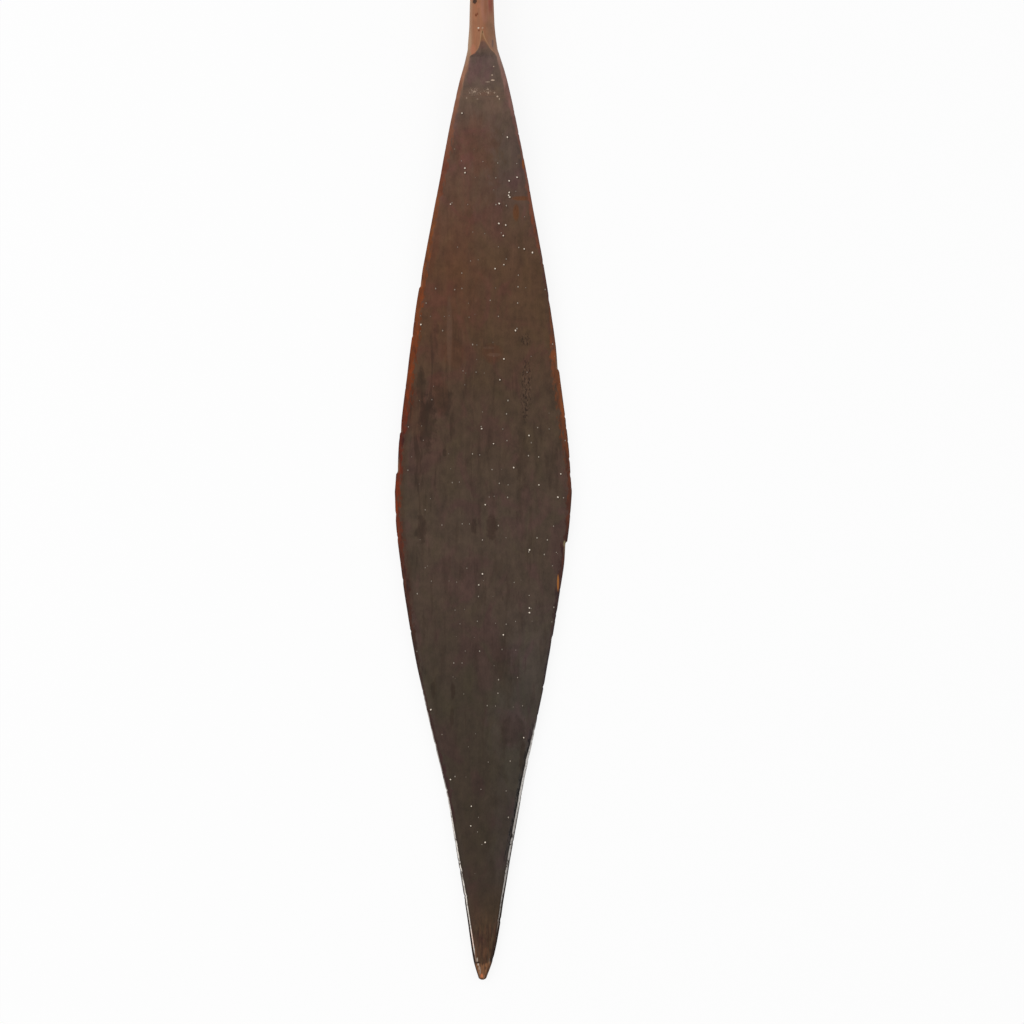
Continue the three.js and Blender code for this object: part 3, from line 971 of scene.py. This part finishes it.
def rubbedShaft(timber):
    place, share, cloud = timber.place, timber.share, timber.cloud
    coat = Coat(timber, "rubbedWood")
    # the right side of the shaft is laid in painted shade
    coat.lay(share.rise(-0.2, 0.45), "rubbedShade")
    coat.lay(timber.streak.rise(0.06, 0.24) * 0.35, "redStreak")
    nearNeck = place.rise(-110, -60) * timber.front
    even = 1 - 0.6 * nearNeck  # the neck is rubbed smoother than the rest
    coat.glaze(timber.weather.rise(0, 0.14) * even, "weathered")
    coat.glaze(timber.weather.fall(-0.14, 0) * even, "yellowed")
    coat.lay(timber.spot(-36, 14, 1.5, 4, cloud) * timber.front * 0.5, "pinkWood")
    strayed = share + 0.15 * cloud
    rightStreak = strayed.within(0.5, 0.86, 0.08) * place.fall(-38, -26)
    coat.lay(rightStreak * nearNeck * 0.75, "redStreak")
    brown = strayed.within(0.08, 0.44, 0.1) * place.fall(-34, -24)
    coat.glaze(brown * nearNeck, "brownNeck")
    olive = share.rise(-0.05, 0.15) * place.within(-23, 0, 3)
    coat.glaze(olive * nearNeck * 0.8, "oliveNeck")
    grey = share.rise(0.2, 0.6) * place.rise(-13, -4)
    coat.glaze(grey * nearNeck, "greyNeck")
    nearShoulder = place.rise(-22, -4)
    # a painted sheen down the rounded left side of the shaft near the neck
    leftSheen = (share + 0.1 * cloud - 0.08 * nearShoulder).fall(-0.96, -0.7)
    coat.lay(leftSheen * nearNeck * (0.6 + 0.35 * nearShoulder), "paleSide")
    # Polished by hands at the grip and under the butt
    strayed = place + 40 * timber.tone
    held = timber.most(*(strayed.within(*grip) for grip in timberFinish["grips"]))
    coat.lay(held * timber.varied(0.55, streak=0.5), "handled")
    streaks = timber.varied(0, fibre=0.5, band=0.7, streak=0.5)
    return coat.shade(timber.varied(1 + streaks * even, tone=0.3, cloud=0.45)).colour, held


def darkPatina(timber):
    place, share, cloud = timber.place, timber.share, timber.cloud
    look = timberFinish
    coat = Coat(timber, timber.woodRamp("patina"))
    upper = place.rise(45, 90) * place.fall(200, 330)
    # Painted light and shade across the face: warmer and lighter on its left, most on the upper blade, and
    # cooler on its right under the shoulders
    warm = (share + 2 * timber.blotch).fall(-0.5, 0.2) * (0.25 + 0.75 * upper)
    coat.glaze(warm, "warm")
    cool = (share + 1.4 * cloud).rise(0.15, 0.5)
    coat.glaze(cool * place.rise(45, 90) * place.fall(105, 160), "cool")
    ashen = (share + 1.2 * timber.blotch).rise(0.1, 0.7)
    coat.glaze(ashen * place.rise(440, 540) * place.fall(700, 735), "ashen")
    coat.glaze(timber.bloom.rise(0, 0.16), "plum")
    coat.glaze(timber.bloom.fall(-0.16, 0), "mossy")
    for red in timber.spots(look["redPlaces"], 3 * timber.blotch):
        coat.glaze(red, "red")
    coat.layMarks(look["stains"], "orangeStain", cloud)
    belly = place.rise(210, 290) * place.fall(520, 640)
    leftBelly = place.within(250, 395, 30) * share.fall(-0.5, -0.1)
    smudge = timber.drip.rise(0.02, 0.16) * (0.15 + 0.55 * belly + 0.6 * leftBelly)
    coat.lay(smudge * 0.42, "smudge")
    for pitted in timber.spots(look["pitted"], 3 * cloud):
        coat.lay(pitted * timber.scratch.fall(-0.1, -0.02) * 0.9, "darkLine")
        coat.lay(pitted * timber.scratch.rise(0.06, 0.14) * 0.45, "scratched")
    coat.layMarks(look["smudges"], "smudge", 3.4 * cloud)
    coat.layMarks(look["rubbedPlaces"], "scratched", 2 * cloud)
    grains = {"fibre": 0.1, "band": 0.14, "streak": 0.16, "blotch": 0.6, "cloud": 0.9, "crumb": 0.3}
    return coat.shade(timber.varied(**grains)).colour


def wornEdges(timber, coat):
    # Orange and red down both sides, which the patina has left, ragged on their inner line
    place, right = timber.place, timber.right
    look = timberFinish
    reach = timber.bySide("EdgeWidth")
    uneven = timber.varied(0, notch=2.4, cloud=1.6) * (0.3 + 0.7 * place.rise(20, 90))
    edge = (timber.rimGap / reach + uneven).fall(0.6, 1.3)
    edge = edge * place.rise(-4, 8) * place.fall(640, 700)
    left = timber.woodRamp("leftEdge", bevelSheen)
    edgeCoat = Coat(timber, timber.mix(right, left, timber.woodRamp("rightEdge")))
    edgeCoat.shade(timber.varied(blotch=0.9, cloud=1.1))
    flaming = place.within(130, 500, 30)
    edgeCoat.glaze(timber.ember.rise(0.02, 0.12) * flaming, "ember")
    edgeCoat.glaze(timber.ember.fall(-0.14, -0.03) * flaming, "charred")
    inner = (timber.rimGap / reach + 1.2 * timber.notch).fall(1.2, 2.2) * (1 - right)
    coat.glaze(inner * place.within(300, 480, 20), "besideEdge")
    coat.lay(edge * 0.95, edgeCoat.colour)
    for *mark, chip in look["rimChips"]:
        coat.layMarks([(*mark, look["chipStrength"])], wood(*chip), 1.4 * timber.cloud)
    patchy = timber.most(place.rise(430, 520), timber.notch.fall(-0.1, 0.04))
    # painted shade along the outermost rim, where its rounding turns away from the light
    outline = timber.rimGap.fall(0.3, 1) * (place + 50 * right).rise(200, 300)
    coat.lay(outline * patchy * 0.55, "darkLine")
    return edge


def lowerRims(timber, coat):
    # The lower rims carry a pale broken line, part wear and part painted highlight where the rounded rim
    # catches the light, which nearer the tip runs between two lines of painted shade
    place, right = timber.place, timber.right
    level = timber.bySide("Line")
    gap = timber.rimGap - timber.bySide("LineGap") + 0.6 * timber.blotch
    broken = timber.most(
        timber.lineBreak.rise(-0.14, 0),
        place.rise(700, 725) * (1 - 0.5 * right) * 0.75,
        place.within(594, 655, 6) * right * 0.9,
    )
    broken = broken * (0.5 + 0.5 * timber.lineCrumb.rise(-0.14, 0))
    # painted shade in the band just inside the lower rims
    paintedRimShade = place.rise(560, 640) * timber.rimGap.fall(2.4, 3.6)
    coat.lay(paintedRimShade * (0.3 + 0.25 * right), "darkLine")
    # a ragged near-black painted shadow line inside the pale line on the right rim, with a cooler painted
    # shade around it
    inside = gap.within(0.7, 4, 0.5) * right * place.within(584, 696, 14)
    coat.glaze(inside, "besideLine")
    coat.lay(inside * (timber.bite + 0.05 * gap).fall(0.06, 0.16) * 0.9, "blackened")
    reach = 0.55 - 0.12 * place.rise(725, 750)
    wide = place.within(594, 715, 8) * right
    line = timber.most((gap / reach).within(-1, 1, 0.4), gap.within(-0.85, 0.85, 0.2) * wide)
    split = wide * place.rise(648, 664)
    line = line * (1 - gap.within(-0.1, 0.1, 0.16) * split * 0.8)
    coat.lay(line * level * broken, "paleLine")
    coat.glaze(line * right * 0.7, "coolLine")
    # painted shade along the outer side of the lower rims
    coat.lay(gap.fall(-0.8, -0.35) * place.rise(640, 675) * 0.9, "darkLine")


def wornTip(timber, coat):
    place, right, across, cloud = timber.place, timber.right, timber.across, timber.cloud
    above = place.rise(735, 765)
    coat.glaze(above * timber.mottle.rise(0.02, 0.12), "tipLight")
    coat.glaze(above * timber.mottle.fall(-0.12, -0.02), "tipDark")
    coat.glaze(above * timber.band.rise(0, 0.12), "tipWarm")
    coat.glaze(above * timber.share.rise(0.2, 0.7), "tipRight")
    coat.lay(timber.spot(778, 7, -6.4, 0.7, cloud) * 0.6, "tipWood")
    start = 785.4 + across.within(-1.5, 3, 1.5) - 1.5 * across.rise(3, 6.5)
    tip = timber.varied(place - start, band=4, fibre=4, cloud=4).rise(0, 2)
    tipCoat = Coat(timber, "tipWood").shade(timber.varied(fibre=1.4, band=2, mottle=1.6))
    coat.lay(tip * 0.95, tipCoat.colour)
    for colour, marks in timberFinish["tipMarks"].items():
        coat.layMarks(marks, colour, 2.6 * timber.crumb + cloud)
    # painted shade along the tip's rounded edges and at its very end
    reach = 0.5 + 0.8 * right
    rounded = (timber.rimGap / reach).fall(0.9, 2.2) * place.rise(765, 782)
    rounded = timber.most(rounded * (0.9 - 0.25 * right), place.rise(798.5, 799.5) * 0.8)
    coat.lay(rounded, "darkLine")


def scuffedPatch(timber, coat):
    rubbed = (timber.place + 5 * timber.cloud).within(33.5, 43, 1.5)
    rubbed = rubbed * timber.rimGap.rise(2, 5) * timber.crossways.rise(-0.1, 0.06)
    coat.lay(rubbed * timber.front * 0.5, "scratched")
    for flecked in timber.spots(timberFinish["flecked"], 2.6 * timber.crumb):
        coat.lay(flecked * timber.fleck.fall(-0.12, -0.04) * 0.5, "smudge")
        coat.lay(flecked * timber.fleck.rise(0.03, 0.12) * 0.6, "scuff")
    coat.layMarks(timberFinish["scuffs"], "scuff", 2 * timber.crumb)


def paleSpecks(timber, coat):
    # Small nicks through the patina, each pale, with a painted shadow of its hollow beside it
    place, across = timber.place, timber.across
    group = {"node_tree": awayFrom(timberFinish["nicks"])}

    def fromNicks(aside):
        spot = timber.add("CombineXYZ", {}, {"X": place - aside, "Y": across - aside})
        return timber.add("Group", group, {"Spot": spot}, "Away") * timber.varied(crumb=2)

    onFace = timber.front * place.rise(5, 20)
    belly = 0.45 + 0.55 * (timber.share + 0.3 * place.rise(180, 300)).rise(-0.1, 0.3)
    scattered = (0.3 + 0.7 * timber.front * belly) * place.within(80, 725, 20)
    scattered = scattered * timber.rimGap.rise(1, 3)
    anyDot, anyPitShadow = timber.dots(*timberFinish["scatter"])
    pitShadow = timber.most(fromNicks(0.5).fall(0.7, 1.5) * onFace, anyPitShadow * scattered * 0.8)
    dot = timber.most(fromNicks(0).fall(0.3, 0.75) * onFace, anyDot * scattered * 0.5)
    # the smudge colour lays the painted shadow beside each speck
    coat.lay(pitShadow * 0.5, "smudge")
    coat.lay(dot, "speck")
    darkDot, _ = timber.dots(*timberFinish["darkScatter"])
    coat.lay(darkDot * scattered * 0.55, "knot")
    return dot


def buttEndGrain(timber, coat):
    # Growth rings, and small checks between them
    spread = {"Vector": timber.here, "Location": timberFinish["ringMiddle"], "Scale": (1, 1, 1)}
    sockets = {"Vector": timber.add("Mapping", {}, spread), "Scale": timberFinish["ringScale"]}
    sockets.update({"Distortion": 1.2, "Detail": 2})
    rings = timber.add("TexWave", {"wave_type": "RINGS", "rings_direction": "X"}, sockets, "Fac")
    onEnd = timber.place.fall(buttEnd + 0.6, buttEnd + 7)
    endCoat = Coat(timber, "endWood").shade(timber.varied(0.72 + 0.3 * rings, pore=0.4, cloud=0.5))
    coat.lay(onEnd * 0.8, endCoat.colour)
    coat.lay(onEnd * timber.pore.rise(0.1, 0.18) * 0.5, "knot")


def makeTimberFinish():
    look = timberFinish
    material, timber = newMaterial("oldOiledTimber", Timber)
    place, cloud = timber.place, timber.cloud
    rubbed, held = rubbedShaft(timber)
    coat = Coat(timber, rubbed)

    # The patina begins inside the run-out on the front, and fades in along the neck on the back.
    # Down the run-out's right side it is thin.
    thin = 0.9 * place.within(-12, 2, 3) * timber.right
    inside = (timber.planed + 0.3 * cloud).rise(-0.08, 0.14 + thin)
    coat.lay(inside * place.rise(-18, -14) * place.fall(-9.5, -6) * 0.7, "slotWood")
    dark = inside * (place + 3 * cloud).rise(-9.5, -5.5)
    behind = timber.front.fall(0.2, 0.6) * (place + 60 * timber.tone).rise(-30, 70)
    coat.lay(timber.most(dark, behind, place.rise(10, 44)), darkPatina(timber))
    edge = wornEdges(timber, coat)
    lowerRims(timber, coat)
    bare = timber.bare.rise(0.3, 0.9) * timber.rimGap.fall(0.5, 2)
    coat.lay(bare * 0.55, "bareWood")
    arris = abs(timber.planed - 0.02).fall(0.06, 0.3) * place.within(-17, 4, 3)
    arris = arris * (1 - 0.55 * place.rise(-9, -2))
    coat.lay(arris * timber.varied(0.65, cloud=0.6), "arrisWood")
    coat.lay(timber.crest * timber.varied(0.6, cloud=0.5) * 0.55, "handled")

    wornTip(timber, coat)
    for colour, marks in look["neckMarks"].items():
        coat.layMarks(marks, colour, 2.6 * timber.crumb)
    scuffedPatch(timber, coat)
    specks = paleSpecks(timber, coat)
    buttEndGrain(timber, coat)

    rough = timber.varied(look["roughness"], blotch=0.3, fibre=0.25) + 0.2 * specks
    rough = rough - 0.08 * edge - 0.12 * held - 0.08 * timber.crest
    bumps = timber.varied(-1.2 * specks, fibre=1, band=0.6, cloud=0.4)
    shape = {"Strength": look["grainStrength"], "Distance": look["grainDepth"], "Height": bumps}
    normal = timber.add("Bump", {}, shape)
    surface = {"Base Color": coat.colour, "Roughness": rough, "Normal": normal}
    surface["Specular IOR Level"] = look["shine"]
    timber.add("OutputMaterial", {}, {"Surface": timber.add("BsdfPrincipled", {}, surface)})
    return material


oiledTimber = makeTimberFinish()
print("timber finish mixed")

# The three named lengths of the one timber

rowSpacing = {
    "blade": curveThrough(
        (bladeStart, 1.9), (-30, 1), (-20, 0.5), (12, 0.5), (45, 1.4), (120, 1.65), (765, 1.65), (790, 0.6),
        (bladeLength, 0.2),
    ),
    "shaft": curveThrough((buttStart, 2.6), (bladeStart - 40, 2.6), (bladeStart, 1.9)),
    "butt": curveThrough((buttEnd, 0.12), (buttEnd + 3, 0.5), (buttEnd + 14, 1.4), (buttStart, 2.6)),
}

bladeRows = placesBetween(bladeStart, bladeLength, rowSpacing["blade"])
shaftRows = placesBetween(buttStart, bladeStart, rowSpacing["shaft"])
buttRows = placesBetween(buttEnd, buttStart, rowSpacing["butt"])
blade = makeLength("bladeTimber", bladeRows, oiledTimber)
shaft = makeLength("shaftTimber", shaftRows, oiledTimber)
butt = makeLength("buttTimber", buttRows, oiledTimber)
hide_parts("blade")
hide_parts("shaft")
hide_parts("butt")

# Floor, background and lamps

studio = {
    "floorSize": 16,
    "floorDrop": 0.0002,  # below the blade's flat, so that the two don't flicker
    "floorColour": paint(252, 252, 252),
    "floorGlow": 0.88,  # share of the floor that shows as plain white, the rest takes the shadow
    "skyLevel": 0.5,
    "lampAim": (0.3, 0, 0),
    "lamps": [
        # name, place, width, length, strength
        ("keyLamp", (0.25, -1.3, 1.7), 2.2, 3.2, 23),
        ("fillLamp", (0.35, 1.5, 1.7), 2.2, 3, 11),
    ],
}


def plainOrWhite(bench, plain, white, share):
    # What the camera and mirrored or refracted rays see is mixed toward plain white
    ray = bench.add("LightPath", {}, {}, "Is Camera Ray")
    for kind in ("Is Glossy Ray", "Is Transmission Ray"):
        ray = bench.sum("MAXIMUM", ray, bench.add("LightPath", {}, {}, kind))
    return bench.add("MixShader", {}, {0: ray * share, 1: plain, 2: white})


def makeFloor():
    half = studio["floorSize"] / 2
    mesh = bpy.data.meshes.new("studioFloor")
    corners = ((-half, -half), (half, -half), (half, half), (-half, half))
    mesh.from_pydata([(x, y, -studio["floorDrop"]) for x, y in corners], [], [(0, 1, 2, 3)])
    material, bench = newMaterial("paleFloor")
    matt = bench.add("BsdfDiffuse", {}, {"Color": studio["floorColour"]})
    white = bench.add("Emission", {}, {"Color": (1, 1, 1, 1), "Strength": 1})
    bench.add("OutputMaterial", {}, {"Surface": plainOrWhite(bench, matt, white, studio["floorGlow"])})
    mesh.materials.append(material)
    floor = bpy.data.objects.new("studioFloor", mesh)
    scene.collection.objects.link(floor)


def makeSky():
    world = bpy.data.worlds.new("studioSky")
    world.use_nodes = True
    scene.world = world
    bench = Bench(world.node_tree)
    lit = bench.add("Background", {}, {"Color": (1, 1, 1, 1), "Strength": studio["skyLevel"]})
    seen = bench.add("Background", {}, {"Color": (1, 1, 1, 1), "Strength": 1})
    bench.add("OutputWorld", {}, {"Surface": plainOrWhite(bench, lit, seen, 1)})


def hangLamps():
    for name, spot, width, length, strength in studio["lamps"]:
        lamp = bpy.data.lights.new(name, "AREA")
        lamp.shape = "RECTANGLE"
        lamp.size = length
        lamp.size_y = width
        lamp.energy = strength
        hung = bpy.data.objects.new(name, lamp)
        hung.location = spot
        beam = Vector(studio["lampAim"]) - hung.location
        hung.rotation_euler = beam.to_track_quat("-Z", "Y").to_euler()
        scene.collection.objects.link(hung)


makeFloor()
makeSky()
hangLamps()
scene.view_settings.view_transform = "Standard"
print("studio lit")
